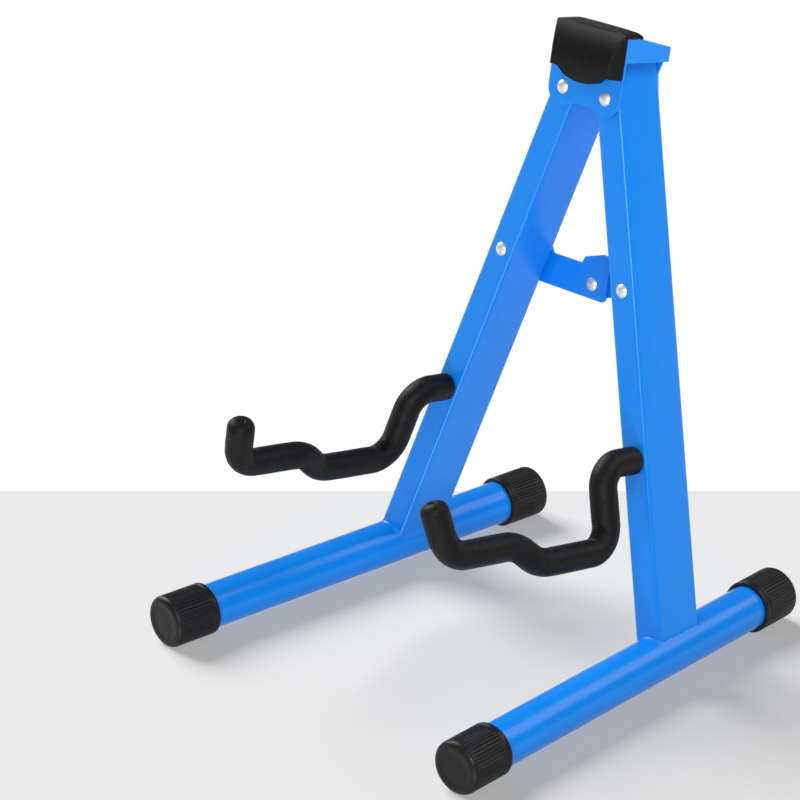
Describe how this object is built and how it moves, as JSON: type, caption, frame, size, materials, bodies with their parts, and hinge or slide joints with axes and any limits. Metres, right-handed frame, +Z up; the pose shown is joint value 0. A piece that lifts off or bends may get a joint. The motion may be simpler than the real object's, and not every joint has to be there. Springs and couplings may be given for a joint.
{
  "type": "guitar stand",
  "caption": "Folding A-frame guitar stand with two round base rails, box-section legs, a hinged cross brace, a padded head and foam-covered cradle arms.",
  "frame": {"origin": "on the floor, at the middle of the footprint of the two base rails", "axes": "+Z up, -Y towards the front, where the arms point, +X to the right hand when the stand is seen from the front"},
  "size_m": [0.2546, 0.2736, 0.3339],
  "materials": {
    "blue_powder_coat": "gloss powder coat on steel",
    "black_rubber": "moulded rubber, satin",
    "black_foam": "closed-cell foam rubber, matte",
    "plated_steel": "zinc plated",
    "bright_steel": "polished",
    "white_nylon": "natural nylon"
  },
  "bodies": {
    "head": {"head_bracket": "blue_powder_coat", "head_pad": "black_rubber", "left_head_pin": "bright_steel", "right_head_pin": "bright_steel", "left_head_washers": "white_nylon", "right_head_washers": "white_nylon"},
    "left_leg": {"left_base_rail": "blue_powder_coat", "left_front_cap": "black_rubber", "left_rear_cap": "black_rubber", "left_leg": "blue_powder_coat", "left_foot_weld": "blue_powder_coat", "left_arm_rod": "plated_steel", "left_arm_sleeve": "black_foam", "left_arm_weld": "blue_powder_coat", "left_head_bush": "plated_steel", "left_brace_pin": "bright_steel", "left_brace_bush": "plated_steel", "left_brace_spacer": "white_nylon"},
    "right_leg": {"right_base_rail": "blue_powder_coat", "right_front_cap": "black_rubber", "right_rear_cap": "black_rubber", "right_leg": "blue_powder_coat", "right_foot_weld": "blue_powder_coat", "right_arm_rod": "plated_steel", "right_arm_sleeve": "black_foam", "right_arm_weld": "blue_powder_coat", "right_head_bush": "plated_steel", "right_brace_pin": "bright_steel", "right_brace_bush": "plated_steel"},
    "left_link": {"left_brace_link": "blue_powder_coat", "brace_rivet": "bright_steel", "brace_washer": "white_nylon"},
    "right_link": {"right_brace_link": "blue_powder_coat", "right_brace_stud": "bright_steel"}
  },
  "joints": [
    {"name": "left_leg_fold", "type": "hinge", "parent": "head", "child": "left_leg", "pos_m": [-0.0153, 0.08855, 0.2944], "axis": [0, -0.9842, 0.1771], "range_deg": [0, 16]},
    {"name": "right_leg_fold", "type": "hinge", "parent": "head", "child": "right_leg", "pos_m": [0.0153, 0.08855, 0.2944], "axis": [0, 0.9842, -0.1771], "range_deg": [0, 16]},
    {"name": "left_link_fold", "type": "hinge", "parent": "left_leg", "child": "left_link", "pos_m": [-0.04474, 0.07128, 0.19845], "axis": [0, 0.9842, -0.1771], "range_deg": [0, 88.49]},
    {"name": "right_link_fold", "type": "hinge", "parent": "left_link", "child": "right_link", "pos_m": [-0.0065, 0.06901, 0.18585], "axis": [0, -0.9842, 0.1771], "range_deg": [0, 108.23]}
  ],
  "couplings": [
    {"joint": "right_leg_fold", "follows": "left_leg_fold", "ratio": 1},
    {"joint": "left_link_fold", "follows": "left_leg_fold", "ratio": 5.5275},
    {"joint": "right_link_fold", "follows": "left_leg_fold", "ratio": 6.7612}
  ]
}
